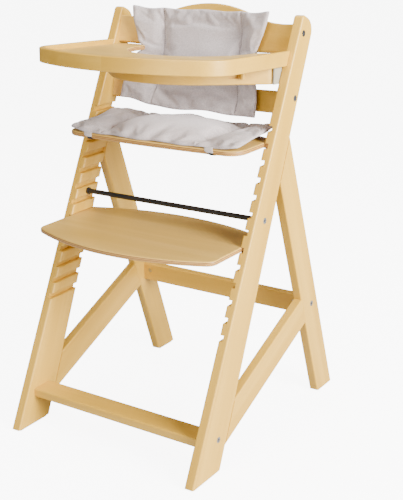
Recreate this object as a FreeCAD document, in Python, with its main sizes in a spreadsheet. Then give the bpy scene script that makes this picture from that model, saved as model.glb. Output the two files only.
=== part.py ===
import FreeCAD, Part
import math
import os

import Sketcher

# Wooden grow-along high chair: two A-shaped side frames joined by crossbars, a tie rod and two
# backrest boards.  Seat and footrest are plywood plates that slide in horizontal grooves.
# +X is the chair's right as seen from the front, the front faces -Y, +Z is up, and the origin
# is on the floor under the middle of the chair.  All sizes are millimetres and degrees.

Vector = FreeCAD.Vector
doc = FreeCAD.newDocument("high_chair")

# ---------------------------------------------------------------------------
# Driving dimensions
# ---------------------------------------------------------------------------
DIMENSIONS = [
    # side frames
    ("depth", 536.8, "front foot to rear foot on the floor"),
    ("tall", 802.0, "floor to the top corner of a post"),
    ("inner", 401.0, "clear width between the side frames"),
    ("board", 20.0, "thickness of every side frame member"),
    ("front_lean", 26.1, "lean of a post's front edge from upright"),
    ("rear_lean", 23.7, "lean of a post's rear edge from upright"),
    ("post_foot", 90.0, "level width of a post where it stands"),
    ("leg_lean", 18.4, "lean of the rear leg from upright"),
    ("leg_width", 58.0, "width of the rear leg"),
    ("brace_start", 45.5, "height where the brace leaves the post"),
    ("brace_rise", 23.8, "slope of the brace from level"),
    ("brace_width", 58.0, "width of the brace"),
    ("top_front_round", 8.0, "round on the front corner of a post's top"),
    ("top_rear_round", 26.0, "round on the rear corner of a post's top"),
    ("edge_round", 3.2, "round along the edges of the side frames"),
    ("glide", 3.0, "thickness of the floor glides"),
    # grooves and plates
    ("groove_first", 246.6, "height of the lowest groove's ledge"),
    ("groove_pitch", 29.4, "step from one groove to the next"),
    ("groove_count", 13, "grooves in each post"),
    ("groove_high", 10.1, "height of a groove"),
    ("groove_deep", 9.0, "depth of a groove into the post"),
    ("groove_round", 2.4, "round on the lips of a groove"),
    ("seat_step", 11, "groove that holds the seat, counted from 0"),
    ("foot_step", 5, "groove that holds the footrest, counted from 0"),
    ("plate_gap", 0.3, "running gap of a plate in its groove"),
    ("seat_side", 0.7, "seat's sides, inside the posts' inner faces"),
    ("foot_side", -3.5, "footrest's sides, inside the posts' inner faces"),
    ("seat_tongue", 16.0, "front of the seat's tongues"),
    ("foot_tongue", -70.0, "front of the footrest's tongues"),
    ("seat_corner", 32.0, "round on the seat's front corners"),
    ("foot_corner", 22.0, "round on the footrest's front corners"),
    ("plate_rear_corner", 12.0, "round on the rear corners of a plate"),
    ("plate_edge", 3.0, "round along the edges of a plate"),
    ("seat_front", -76.0, "seat plate's front corners from the middle"),
    ("seat_rear", 47.0, "seat plate's rear corners from the middle"),
    ("seat_bow", 2600.0, "radius of the seat's front edge"),
    ("foot_front", -167.0, "footrest's front corners from the middle"),
    ("foot_rear", -1.0, "footrest's rear corners from the middle"),
    ("foot_bow", 460.0, "radius of the footrest's front edge"),
    ("rear_bow", 520.0, "radius of both plates' rear edges"),
    # crossbars and tie rod
    ("front_bar_y", -217.0, "front face of the front crossbar"),
    ("front_bar_top", 75.6, "top of the front crossbar"),
    ("front_bar_wide", 48.0, "front crossbar's depth"),
    ("bar_thick", 18.0, "thickness of the front crossbar"),
    ("rear_bar_y", 161.6, "front face of the rear crossbar"),
    ("rear_bar_z", 191.5, "bottom of the rear crossbar"),
    ("rear_bar_tall", 39.5, "height of the rear crossbar"),
    ("rear_bar_thick", 20.0, "thickness of the rear crossbar"),
    ("bar_round", 4.0, "round along the crossbars' edges"),
    ("rod_y", -17.5, "tie rod from the middle"),
    ("rod_z", 442.3, "height of the tie rod"),
    ("rod", 10.0, "diameter of the tie rod"),
    ("collar", 14.0, "diameter of the tie rod's collars"),
    ("collar_wide", 4.0, "width of the tie rod's collars"),
    # backrest
    ("back_y", 76.0, "lower board's front face, at its bottom corners"),
    ("back_z", 623.5, "bottom of the lower board"),
    ("recline", 14.5, "backrest's lean from upright"),
    ("back_thick", 14.0, "thickness of the backrest boards"),
    ("back_bow", 28.0, "set-back of the boards' middle"),
    ("low_board_tall", 42.0, "height of the lower board"),
    ("low_bolt_up", 31.0, "lower board's bolt above its bottom edge"),
    ("low_dowel_up", 13.0, "lower board's dowel above its bottom edge"),
    ("top_board_up", 111.6, "upper board's bottom above the lower board's"),
    ("top_board_tall", 54.0, "height of the upper board at its ends"),
    ("top_bolt_up", 39.0, "upper board's bolt above its bottom edge"),
    ("top_dowel_up", 15.0, "upper board's dowel above its bottom edge"),
    ("crest", 36.0, "rise of the upper board's crest"),
    ("crest_run", 184.0, "half width of the crest"),
    ("back_edge", 3.0, "round along the boards' edges"),
    # tray and guard rail, in the tray's own sloping frame
    ("tray_y", 90.0, "tray frame's origin, front of the posts"),
    ("tray_z", 711.0, "height of the rim's bottom at the origin"),
    ("tray_slope", 2.9, "tray's rise towards the front"),
    ("rim_over", 9.5, "rim's sides beyond the posts' inner faces"),
    ("rim_tall", 27.0, "height of the rim"),
    ("rim_thick", 9.0, "thickness of the rim"),
    ("rim_reach", 228.0, "rim's front corners ahead of the origin"),
    ("rim_bow", 385.0, "radius of the rim's front"),
    ("rim_corner", 62.0, "radius of the rim's front corners"),
    ("panel_up", 8.5, "panel's underside above the rim's bottom"),
    ("panel_thick", 9.0, "thickness of the tray panel"),
    ("panel_neck", 392.0, "panel's width between the posts"),
    ("neck_front", 11.0, "start of the neck ahead of the origin"),
    ("panel_rear", 26.0, "panel's rear edge behind the origin"),
    ("belly", 127.0, "radius of the cut-out for the child"),
    ("belly_y", 8.0, "centre of the cut-out ahead of the origin"),
    ("arm_round", 30.0, "round on the panel's rear corners"),
    ("rail_down", 31.5, "guard rail's bottom below the rim's bottom"),
    ("rail_thick", 9.0, "thickness of the guard rail"),
    ("rail_turn", 43.5, "guard rail's round front inside the posts' inner faces"),
    ("rail_front", 170.5, "guard rail's front ahead of the origin"),
    ("rail_bend", 16.0, "inner radius where the rail meets the posts"),
    ("rail_tail", 11.0, "guard rail's ends behind the origin"),
    ("bracket", 3.0, "thickness of the rail brackets"),
    ("bracket_front", 40.0, "front of the rail brackets ahead of the origin"),
    ("peg", 10.0, "diameter of the tray pegs"),
    ("peg_drop", 20.0, "tray pegs below the rim's bottom"),
    ("peg_in", 5.0, "tray pegs' depth in the panel"),
    ("peg_x", 160.0, "tray pegs from the middle"),
    ("grip_long", 18.0, "length of a finger recess in the rail"),
    ("grip_tall", 9.0, "height of a finger recess"),
    ("grip_deep", 5.0, "depth of a finger recess"),
    ("grip_x", 145.0, "finger recess from the middle"),
    # cushions
    ("pad_gap", 0.3, "gap between a cushion and what carries it"),
    ("seat_pad_thick", 19.0, "thickness of the seat cushion"),
    ("seat_pad_wide", 382.0, "width of the seat cushion"),
    ("seat_pad_front", -70.0, "front corners of the seat cushion"),
    ("seat_pad_rear", 86.0, "rear of the seat cushion"),
    ("seat_pad_corner", 26.0, "corner round of the seat cushion"),
    ("back_pad_thick", 18.0, "thickness of the back cushion"),
    ("back_pad_wide", 316.0, "width of the back cushion"),
    ("back_pad_waist", 216.0, "its width where the tray's arms pass"),
    ("back_pad_low", 7.0, "back cushion's bottom below the lower board"),
    ("back_pad_high", 186.0, "back cushion's top above the lower board"),
    ("waist_up", 86.0, "bottom of the waist above the lower board"),
    ("waist_tall", 27.0, "height of the waist"),
    ("strap_wide", 17.0, "width of the cushion straps"),
    ("strap_thick", 1.4, "thickness of the cushion straps"),
    ("seat_strap_x", 140.0, "seat straps from the middle"),
    ("seat_strap_long", 62.0, "length of the seat straps under the plate"),
    ("back_strap_x", 108.0, "back straps from the middle"),
    # hardware
    ("bolt", 5.9, "diameter of the bolts"),
    ("bolt_hole", 6.0, "diameter of the bolt holes"),
    ("head", 12.0, "diameter of the bolt heads"),
    ("head_tall", 3.0, "height of the bolt heads"),
    ("head_hole", 12.1, "diameter of the counterbores"),
    ("socket", 4.0, "hexagon socket across flats"),
    ("socket_deep", 2.2, "depth of the socket"),
    ("nut", 10.0, "diameter of the barrel nuts"),
    ("nut_hole", 10.1, "diameter of the barrel nuts' holes"),
    ("nut_long", 11.8, "length of the barrel nuts"),
    ("nut_in", 16.0, "barrel nut's centre from the end of its bar"),
    ("dowel", 8.0, "diameter of the wooden dowels"),
    ("dowel_hole", 8.1, "diameter of the dowel holes"),
    ("dowel_long", 34.0, "length of the frame dowels"),
    ("dowel_post", 12.0, "crossbar dowel's depth in the side frame"),
    ("dowel_bar", 18.0, "crossbar dowel's depth in the bar"),
    ("screw", 3.5, "diameter of the rail screws"),
    ("screw_hole", 3.6, "diameter of the screw holes"),
    ("screw_head", 7.0, "diameter of the screw heads"),
    ("screw_head_tall", 2.2, "height of the screw heads"),
    ("screw_long", 24.0, "length of the rail screws"),
    ("glide_wide", 15.0, "width of the floor glides"),
    ("post_glide_long", 76.0, "length of the glides under the posts"),
    ("leg_glide_long", 48.0, "length of the glides under the rear legs"),
    ("glide_pin", 2.0, "diameter of the glides' pins"),
    ("glide_pin_long", 12.0, "length of the glides' pins"),
]

sizes = doc.addObject("Spreadsheet::Sheet", "Sizes")
for row, (alias, value, meaning) in enumerate(DIMENSIONS, start=1):
    sizes.set("A%d" % row, alias)
    sizes.set("B%d" % row, str(value))
    sizes.set("C%d" % row, meaning)
    sizes.setAlias("B%d" % row, alias)
doc.recompute()

# ---------------------------------------------------------------------------
# Places worked out from the driving dimensions
# ---------------------------------------------------------------------------
places = doc.addObject("App::VarSet", "Places")
KNOWN = {alias for alias, value, meaning in DIMENSIONS}


def spell(text):
    """Turn plain names in an expression into references to the sheet or to the places."""
    words, word = [], ""
    for letter in text + " ":
        if letter.isalnum() or letter == "_":
            word += letter
            continue
        if word in KNOWN:
            words.append("Sizes." + word)
        elif word in places.PropertiesList:
            words.append("Places." + word)
        else:
            words.append(word)
        words.append(letter)
        word = ""
    return "".join(words).strip()


def number(text):
    return float(places.evalExpression(spell(text)))


def place(name, text):
    """Keep a worked-out value under a name, bound to the dimensions it comes from."""
    expression = spell(text)
    places.addProperty("App::PropertyFloat", name, "Places")
    places.setExpression(name, expression)
    places.recompute()


place("half", "inner / 2")
place("outer", "half + board")
place("front_tan", "tan(front_lean * 1deg)")
place("rear_tan", "tan(rear_lean * 1deg)")
place("leg_tan", "tan(leg_lean * 1deg)")
place("brace_tan", "tan(brace_rise * 1deg)")
place("front_foot", "-depth / 2")
place("post_heel", "front_foot + post_foot")
place("rear_foot", "depth / 2")
place("leg_toe", "rear_foot - leg_width / cos(leg_lean * 1deg)")
place("top_front_y", "front_foot + (tall - glide) * front_tan")
place("top_lean", "(front_lean + rear_lean) / 2")
place("top_wide", "post_heel + (tall - glide) * rear_tan - top_front_y")
place("top_cut", "top_wide / (cos(top_lean * 1deg) + sin(top_lean * 1deg) * rear_tan)")
place("top_rear_y", "top_front_y + top_cut * cos(top_lean * 1deg)")
place("top_rear_z", "tall - top_cut * sin(top_lean * 1deg)")
place("leg_high_z", "glide + (rear_foot - post_heel) / (rear_tan + leg_tan)")
place("leg_low_z", "glide + (leg_toe - post_heel) / (rear_tan + leg_tan)")
place("brace_y", "post_heel + (brace_start - glide) * rear_tan")
place("brace_top", "brace_start + brace_width / cos(brace_rise * 1deg)")
place("brace_high_z", "(brace_top - brace_start * rear_tan * brace_tan) / (1 - rear_tan * brace_tan)")
place("brace_reach", "leg_toe + glide * leg_tan - brace_y")
place("leg_meets_low", "(brace_start + brace_reach * brace_tan) / (1 + leg_tan * brace_tan)")
place("leg_meets_high", "(brace_top + brace_reach * brace_tan) / (1 + leg_tan * brace_tan)")
place("plate_thick", "groove_high - 2 * plate_gap")
place("plate_half", "half + groove_deep - plate_gap")
place("seat_z", "groove_first + seat_step * groove_pitch + plate_gap")
place("foot_z", "groove_first + foot_step * groove_pitch + plate_gap")
place("front_bar_z", "front_bar_top - bar_thick")
place("front_bolt_y", "front_bar_y + 0.71 * front_bar_wide")
place("front_dowel_y", "front_bar_y + 0.27 * front_bar_wide")
place("front_bolt_z", "front_bar_z + bar_thick / 2")
place("rear_bolt_y", "rear_bar_y + rear_bar_thick / 2")
place("rear_bolt_z", "rear_bar_z + 0.61 * rear_bar_tall")
place("rear_dowel_z", "rear_bar_z + 0.22 * rear_bar_tall")
place("back_radius", "(half * half + back_bow * back_bow) / (2 * back_bow)")
place("crest_radius", "(crest_run * crest_run + crest * crest) / (4 * crest)")


place("nut_set", "sqrt(back_radius ^ 2 - (half - nut_in) ^ 2) - (back_radius - back_bow)")


def back_point(up, behind="back_thick / 2 + 2.4"):
    """Level and upright place of a point in the backrest's leaning frame."""
    y = "back_y + (%s) * cos(recline * 1deg) + (%s) * sin(recline * 1deg)" % (behind, up)
    z = "back_z - (%s) * sin(recline * 1deg) + (%s) * cos(recline * 1deg)" % (behind, up)
    return y, z


def leg_front(height):
    return "leg_toe - ((%s) - glide) * leg_tan" % height


def post_rear(height):
    return "post_heel + ((%s) - glide) * rear_tan" % height


# ---------------------------------------------------------------------------
# Small helpers for bodies, sketches and primitives
# ---------------------------------------------------------------------------
def bind(thing, setting, text):
    thing.setExpression(setting, spell(text))


def sketch(body, name, role, offset="0"):
    """A sketch on one of the body's own origin planes, moved out along its normal."""
    flat = body.newObject("Sketcher::SketchObject", name)
    support = [item for item in body.Origin.OriginFeatures if item.Role == role][0]
    flat.AttachmentSupport = [(support, "")]
    flat.MapMode = "FlatFace"
    bind(flat, "AttachmentOffset.Base.z", offset)
    return flat


def pin_point(flat, index, end, across, up):
    for kind, text in (("DistanceX", across), ("DistanceY", up)):
        rule = flat.addConstraint(Sketcher.Constraint(kind, index, end, number(text)))
        bind(flat, "Constraints[%d]" % rule, text)


def outline(flat, corners):
    """A closed loop.  A corner is (across, up) or (across, up, radius, side), where the stretch
    to the next corner is an arc that bulges to the left (side 1) or right (side -1)."""
    ends = []
    for index, corner in enumerate(corners):
        after = corners[(index + 1) % len(corners)]
        here = Vector(number(corner[0]), number(corner[1]), 0)
        there = Vector(number(after[0]), number(after[1]), 0)
        if len(corner) == 2:
            flat.addGeometry(Part.LineSegment(here, there), False)
            ends.append((1, 2))
            continue
        radius, side = number(corner[2]), corner[3]
        chord = there - here
        left = Vector(-chord.y, chord.x, 0).normalize()
        inset = math.sqrt(max(radius ** 2 - (chord.Length / 2) ** 2, 0))
        middle = (here + there) * 0.5 - left * side * inset
        turn_here = math.atan2(here.y - middle.y, here.x - middle.x)
        turn_there = math.atan2(there.y - middle.y, there.x - middle.x)
        first, last = (turn_there, turn_here) if side > 0 else (turn_here, turn_there)
        if last < first:
            last += 2 * math.pi
        ring = Part.Circle(middle, Vector(0, 0, 1), radius)
        flat.addGeometry(Part.ArcOfCircle(ring, first, last), False)
        ends.append((2, 1) if side > 0 else (1, 2))
    for index, corner in enumerate(corners):
        before = (index - 1) % len(corners)
        flat.addConstraint(
            Sketcher.Constraint("Coincident", before, ends[before][1], index, ends[index][0]))
    for index, corner in enumerate(corners):
        pin_point(flat, index, ends[index][0], corner[0], corner[1])
        if len(corner) > 2:
            rule = flat.addConstraint(Sketcher.Constraint("Radius", index, number(corner[2])))
            bind(flat, "Constraints[%d]" % rule, corner[2])


def ring(flat, across, up, radius):
    """A full circle placed from the sketch's origin."""
    centre = Vector(number(across), number(up), 0)
    index = flat.addGeometry(Part.Circle(centre, Vector(0, 0, 1), number(radius)), False)
    pin_point(flat, index, 3, across, up)
    rule = flat.addConstraint(Sketcher.Constraint("Radius", index, number(radius)))
    bind(flat, "Constraints[%d]" % rule, radius)


def new_body(name):
    return doc.addObject("PartDesign::Body", name + "_body")


def pad(body, flat, name, length, flip=False):
    feature = body.newObject("PartDesign::Pad", name)
    feature.Profile = flat
    feature.Reversed = flip
    bind(feature, "Length", length)
    doc.recompute()
    return feature


def pocket(body, flat, name, depth=None, flip=False):
    """Cut the sketch out, to a depth or right through both ways."""
    before = body.Tip.Shape.Volume
    feature = body.newObject("PartDesign::Pocket", name)
    feature.Profile = flat
    if depth is None:
        feature.SideType = "Symmetric"
        feature.Type = "ThroughAll"
    else:
        feature.Reversed = flip
        bind(feature, "Length", depth)
    doc.recompute()
    if feature.Shape.Volume > before - 1:
        raise RuntimeError("%s of %s cut nothing" % (name, body.Name))
    return feature


def edges_where(shape, test):
    return ["Edge%d" % (index + 1) for index, edge in enumerate(shape.Edges) if test(edge)]


def round_edges(body, name, radius, test):
    base = body.Tip
    picked = edges_where(base.Shape, test)
    if not picked:
        raise RuntimeError("%s of %s found no edge" % (name, body.Name))
    feature = body.newObject("PartDesign::Fillet", name)
    feature.Base = (base, picked)
    bind(feature, "Radius", radius)
    doc.recompute()
    return feature


def put(thing, x="0", y="0", z="0", axis=None, angle="0"):
    """Bind a thing's place and its turn about a fixed axis."""
    if axis is not None:
        thing.Placement = FreeCAD.Placement(
            Vector(), FreeCAD.Rotation(Vector(*axis), max(number(angle), 0.001)))
        bind(thing, "Placement.Rotation.Angle", "(%s) * 1deg" % angle)
    for letter, text in (("x", x), ("y", y), ("z", z)):
        bind(thing, "Placement.Base." + letter, text)


ALONG_X = (0, 1, 0)
TOWARDS_BACK = (-1, 0, 0)


def cylinder(name, diameter, length, x, y, z, axis=None, angle="0"):
    """A cylinder that starts at a point; it runs along +Z until it is turned."""
    thing = doc.addObject("Part::Cylinder", name)
    bind(thing, "Radius", "(%s) / 2" % diameter)
    bind(thing, "Height", length)
    put(thing, x, y, z, axis, angle)
    return thing


def block(name, wide, deep, tall, x, y, z, axis=None, angle="0"):
    thing = doc.addObject("Part::Box", name)
    bind(thing, "Length", wide)
    bind(thing, "Width", deep)
    bind(thing, "Height", tall)
    put(thing, x, y, z, axis, angle)
    return thing


def group(name, things):
    together = doc.addObject("Part::Compound", name)
    together.Links = things
    return together


def cut(name, base, tools):
    result = doc.addObject("Part::Cut", name)
    result.Base = base
    result.Tool = tools[0] if len(tools) == 1 else fuse(name + "_tools", tools)
    return result


def fuse(name, things):
    result = doc.addObject("Part::MultiFuse", name)
    result.Shapes = things
    return result


NODES = []


def node(thing, label):
    thing.Label = label
    NODES.append(thing)


def is_level_x(edge):
    """True for a straight edge along X."""
    return edge.Curve.TypeId == "Part::GeomLine" and abs(edge.tangentAt(0).x) > 0.999


def on_broad_face(edge):
    """True for an edge that lies in the inner or outer face of a side frame."""
    box = edge.BoundBox
    return box.XLength < 0.01


SIDES = (("left", -1), ("right", 1))

# ---------------------------------------------------------------------------
# Bolts, dowels and barrel nuts: one table says where each crossbar is fastened
# ---------------------------------------------------------------------------
low_bolt = back_point("low_bolt_up")
low_dowel = back_point("low_dowel_up")
top_bolt = back_point("top_board_up + top_bolt_up")
top_dowel = back_point("top_board_up + top_dowel_up")

# bar, bolt (y, z), dowel (y, z), barrel nut's start (y, z) and the axis and angle it points along
FASTENINGS = {
    "front_crossbar": (("front_bolt_y", "front_bolt_z"), ("front_dowel_y", "front_bolt_z"),
                       ("front_bolt_y", "front_bar_z + 1"), None, "0"),
    "rear_crossbar": (("rear_bolt_y", "rear_bolt_z"), ("rear_bolt_y", "rear_dowel_z"),
                      ("rear_bar_y + 1", "rear_bolt_z"), TOWARDS_BACK, "90"),
    "lower_backrest_board": (low_bolt, low_dowel,
                             back_point("low_bolt_up", "nut_set + back_thick - 0.5"),
                             (1, 0, 0), "90 - recline"),
    "upper_backrest_board": (top_bolt, top_dowel,
                             back_point("top_board_up + top_bolt_up",
                                        "nut_set + back_thick - 0.5"),
                             (1, 0, 0), "90 - recline"),
}


def along_x(name, diameter, start, length, spot, side):
    """A cylinder along X from the start, running outwards on its own side."""
    if side > 0:
        return cylinder(name, diameter, length, start, spot[0], spot[1], ALONG_X, "90")
    return cylinder(name, diameter, length, "-(%s) - (%s)" % (start, length),
                    spot[0], spot[1], ALONG_X, "90")


def bar_tools(bar):
    """Bores for the bolt, the barrel nut and the dowel at both ends of a bar."""
    bolt_spot, dowel_spot, nut_spot, axis, angle = FASTENINGS[bar]
    tools = []
    for name, side in SIDES:
        tag = "%s_%s_" % (bar, name)
        tools.append(along_x(tag + "bolt_bore", "bolt_hole", "half - nut_in - 6.5", "nut_in + 7.5",
                             bolt_spot, side))
        tools.append(along_x(tag + "dowel_bore", "dowel_hole", "half - dowel_bar", "dowel_bar + 1",
                             dowel_spot, side))
        tools.append(cylinder(tag + "nut_bore", "nut_hole", "nut_long + 1.5",
                              "%d * (half - nut_in)" % side,
                              *nut_bore_start(nut_spot, axis), axis, angle))
    return tools


def nut_bore_start(nut_spot, axis):
    """The barrel nut's bore is open at the face that the nut goes in from."""
    y, z = nut_spot
    if axis is None:
        return y, "%s - 1.5" % z
    if axis == TOWARDS_BACK:
        return "%s - 1.5" % y, z
    return y + " + 1.5 * cos(recline * 1deg)", z + " - 1.5 * sin(recline * 1deg)"


# ---------------------------------------------------------------------------
# Side frames
# ---------------------------------------------------------------------------
POST_OUTLINE = [
    ("front_foot", "glide"),
    ("post_heel", "glide"),
    ("top_rear_y", "top_rear_z"),
    ("top_front_y", "tall"),
]
LEG_OUTLINE = [
    ("leg_toe", "glide"),
    ("rear_foot", "glide"),
    (post_rear("leg_high_z"), "leg_high_z"),
    (post_rear("leg_low_z"), "leg_low_z"),
]
BRACE_OUTLINE = [
    ("brace_y", "brace_start"),
    (leg_front("leg_meets_low"), "leg_meets_low"),
    (leg_front("leg_meets_high"), "leg_meets_high"),
    (post_rear("brace_high_z"), "brace_high_z"),
]

# frame dowels: where on the joint, and the angle from upright that they point along
FRAME_JOINTS = {
    "leg_to_post": ("leg_low_z", "leg_high_z", post_rear, "90 + rear_lean",
                    "cos(rear_lean * 1deg)", "-sin(rear_lean * 1deg)"),
    "brace_to_post": ("brace_start", "brace_high_z", post_rear, "90 + rear_lean",
                      "cos(rear_lean * 1deg)", "-sin(rear_lean * 1deg)"),
    "brace_to_leg": ("leg_meets_low", "leg_meets_high", leg_front, "90 - leg_lean",
                     "cos(leg_lean * 1deg)", "sin(leg_lean * 1deg)"),
}
DOWEL_FRACTIONS = {"leg_to_post": (0.3, 0.68), "brace_to_post": (0.28, 0.7),
                   "brace_to_leg": (0.28, 0.72)}


def frame_dowel(name, joint, fraction, side, diameter, length):
    """One dowel across a joint of the side frame, centred on the joint."""
    low, high, line, angle, step_y, step_z = FRAME_JOINTS[joint]
    height = "%s + %g * (%s - %s)" % (low, fraction, high, low)
    y = "%s - (%s) / 2 * (%s)" % (line(height), length, step_y)
    z = "%s - (%s) / 2 * (%s)" % (height, length, step_z)
    return cylinder(name, diameter, length, "%d * (half + board / 2)" % side, y, z,
                    TOWARDS_BACK, angle)


def joint_bores(member, joints, side):
    tools = []
    for joint in joints:
        for index, fraction in enumerate(DOWEL_FRACTIONS[joint]):
            name = "%s_%s_bore_%d" % (member, joint, index + 1)
            tools.append(frame_dowel(name, joint, fraction, side, "dowel_hole", "dowel_long + 1"))
    return tools


def side_board(name, side, corners):
    """A board of the side frame, padded outwards from the inner face."""
    body = new_body(name)
    flat = sketch(body, name + "_outline", "YZ_Plane", "%d * half" % side)
    outline(flat, corners)
    pad(body, flat, name + "_pad", "board", side < 0)
    return body


def drill(body, name, side, spots, diameter, from_outside, depth=None):
    """Round holes across a side board, from its outer or inner face."""
    face = "%d * outer" % side if from_outside else "%d * half" % side
    flat = sketch(body, name, "YZ_Plane", face)
    for across, up in spots:
        ring(flat, across, up, "(%s) / 2" % diameter)
    pocket(body, flat, name + "_cut", depth, (side < 0) == from_outside)


def lay_tray(thing):
    """Put a thing built level into the tray's sloping frame."""
    put(thing, "0", "tray_y", "tray_z", TOWARDS_BACK, "tray_slope")


# where the guard rail's screws go, in the tray's frame
SCREW_SPOTS = [("-rail_tail", "-rail_down / 2"), ("rail_tail / 2", "-rail_down / 2")]


def rail_screw_bores(side_name, side):
    """The screws' bores in a post, laid in the tray's frame."""
    bores = [along_x("%s_post_screw_bore_%d" % (side_name, index + 1), "screw_hole", "half - 1",
                     "screw_long - rail_thick - bracket + 1.5", spot, side)
             for index, spot in enumerate(SCREW_SPOTS)]
    bores = group(side_name + "_post_screw_bores", bores)
    lay_tray(bores)
    return bores


POST_BARS = ("front_crossbar", "lower_backrest_board", "upper_backrest_board")
for side_name, side in SIDES:
    name = side_name + "_post"
    post = side_board(name, side, POST_OUTLINE)
    top_front = number("top_front_y"), number("tall")
    top_rear = number("top_rear_y"), number("top_rear_z")
    round_edges(post, name + "_top_front", "top_front_round",
                lambda edge: is_level_x(edge) and abs(edge.BoundBox.ZMax - top_front[1]) < 0.01)
    round_edges(post, name + "_top_rear", "top_rear_round",
                lambda edge: is_level_x(edge) and abs(edge.BoundBox.ZMax - top_rear[1]) < 0.01)
    floor_line = number("glide")
    round_edges(post, name + "_edges", "edge_round",
                lambda edge: on_broad_face(edge) and edge.BoundBox.ZMax > floor_line + 1)

    groove = sketch(post, name + "_groove", "XZ_Plane")
    lip, back = "%d * (half - 2)" % side, "%d * (half + groove_deep)" % side
    mouth, inside = "%d * half" % side, "%d * (half + groove_round)" % side
    outline(groove, [
        (lip, "groove_first - groove_round"),
        (mouth, "groove_first - groove_round", "groove_round", 1 if side > 0 else -1),
        (inside, "groove_first"),
        (back, "groove_first"),
        (back, "groove_first + groove_high"),
        (inside, "groove_first + groove_high", "groove_round", 1 if side > 0 else -1),
        (mouth, "groove_first + groove_high + groove_round"),
        (lip, "groove_first + groove_high + groove_round"),
    ])
    first_groove = pocket(post, groove, name + "_groove_cut")
    grooves = post.newObject("PartDesign::LinearPattern", name + "_grooves")
    grooves.Originals = [first_groove]
    upright = [item for item in post.Origin.OriginFeatures if item.Role == "Z_Axis"][0]
    grooves.Direction = (upright, [""])
    bind(grooves, "Length", "groove_pitch * (groove_count - 1)")
    bind(grooves, "Occurrences", "groove_count")
    post.Tip = grooves
    doc.recompute()

    bolt_spots = [FASTENINGS[bar][0] for bar in POST_BARS] + [("rod_y", "rod_z")]
    dowel_spots = [FASTENINGS[bar][1] for bar in POST_BARS]
    drill(post, name + "_bolt_holes", side, bolt_spots, "bolt_hole", True)
    drill(post, name + "_counterbores", side, bolt_spots, "head_hole", True, "head_tall")
    drill(post, name + "_dowel_holes", side, dowel_spots, "dowel_hole", False, "dowel_post + 0.5")
    bores = joint_bores(name, ("leg_to_post", "brace_to_post"), side)
    bores.append(cylinder(name + "_glide_bore", "glide_pin + 0.1", "glide_pin_long + 0.5",
                          "%d * (half + board / 2)" % side, "front_foot + post_foot / 2", "glide"))
    bored = cut(name + "_bored", post, bores)
    node(cut(name, bored, [rail_screw_bores(side_name, side)]), name)

for side_name, side in SIDES:
    name = side_name + "_rear_leg"
    leg = side_board(name, side, LEG_OUTLINE)
    round_edges(leg, name + "_edges", "edge_round",
                lambda edge: on_broad_face(edge) and edge.Length > number("leg_low_z") - 60)
    bolt_spot, dowel_spot = FASTENINGS["rear_crossbar"][:2]
    drill(leg, name + "_bolt_hole", side, [bolt_spot], "bolt_hole", True)
    drill(leg, name + "_counterbore", side, [bolt_spot], "head_hole", True, "head_tall")
    drill(leg, name + "_dowel_hole", side, [dowel_spot], "dowel_hole", False, "dowel_post + 0.5")
    bores = joint_bores(name, ("leg_to_post", "brace_to_leg"), side)
    bores.append(cylinder(name + "_glide_bore", "glide_pin + 0.1", "glide_pin_long + 0.5",
                          "%d * (half + board / 2)" % side, "(leg_toe + rear_foot) / 2", "glide"))
    node(cut(name, leg, bores), name)

for side_name, side in SIDES:
    name = side_name + "_brace"
    brace = side_board(name, side, BRACE_OUTLINE)
    round_edges(brace, name + "_edges", "edge_round",
                lambda edge: on_broad_face(edge) and edge.Length > 2 * number("brace_width"))
    node(cut(name, brace, joint_bores(name, ("brace_to_post", "brace_to_leg"), side)), name)

frame_dowels = []
for side_name, side in SIDES:
    for joint, fractions in DOWEL_FRACTIONS.items():
        for index, fraction in enumerate(fractions):
            name = "%s_%s_dowel_%d" % (side_name, joint, index + 1)
            frame_dowels.append(frame_dowel(name, joint, fraction, side, "dowel", "dowel_long"))
node(group("frame_dowels", frame_dowels), "frame_dowels")

# ---------------------------------------------------------------------------
# Crossbars and the tie rod
# ---------------------------------------------------------------------------
def plain_bar(name, front, deep, bottom, tall):
    """A straight bar between the side frames with its long edges rounded."""
    body = new_body(name)
    flat = sketch(body, name + "_plan", "XY_Plane", bottom)
    rear = "%s + %s" % (front, deep)
    outline(flat, [("-half", front), ("half", front), ("half", rear), ("-half", rear)])
    pad(body, flat, name + "_pad", tall)
    round_edges(body, name + "_edges", "bar_round", is_level_x)
    node(cut(name, body, bar_tools(name)), name)


plain_bar("front_crossbar", "front_bar_y", "front_bar_wide", "front_bar_z", "bar_thick")
plain_bar("rear_crossbar", "rear_bar_y", "rear_bar_thick", "rear_bar_z", "rear_bar_tall")

rod_bar = cylinder("rod_bar", "rod", "2 * half", "-half", "rod_y", "rod_z", ALONG_X, "90")
rod_bores = [along_x("rod_%s_bore" % side_name, "bolt_hole", "half - 24", "25",
                     ("rod_y", "rod_z"), side) for side_name, side in SIDES]
node(cut("tie_rod", rod_bar, rod_bores), "tie_rod")

collars = []
for side_name, side in SIDES:
    spot = ("rod_y", "rod_z")
    disc = along_x(side_name + "_collar_disc", "collar", "half - collar_wide", "collar_wide",
                   spot, side)
    hole = along_x(side_name + "_collar_hole", "rod + 0.1", "half - collar_wide - 1",
                   "collar_wide + 2", spot, side)
    collars.append(cut(side_name + "_collar", disc, [hole]))
node(group("tie_rod_collars", collars), "tie_rod_collars")

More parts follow.
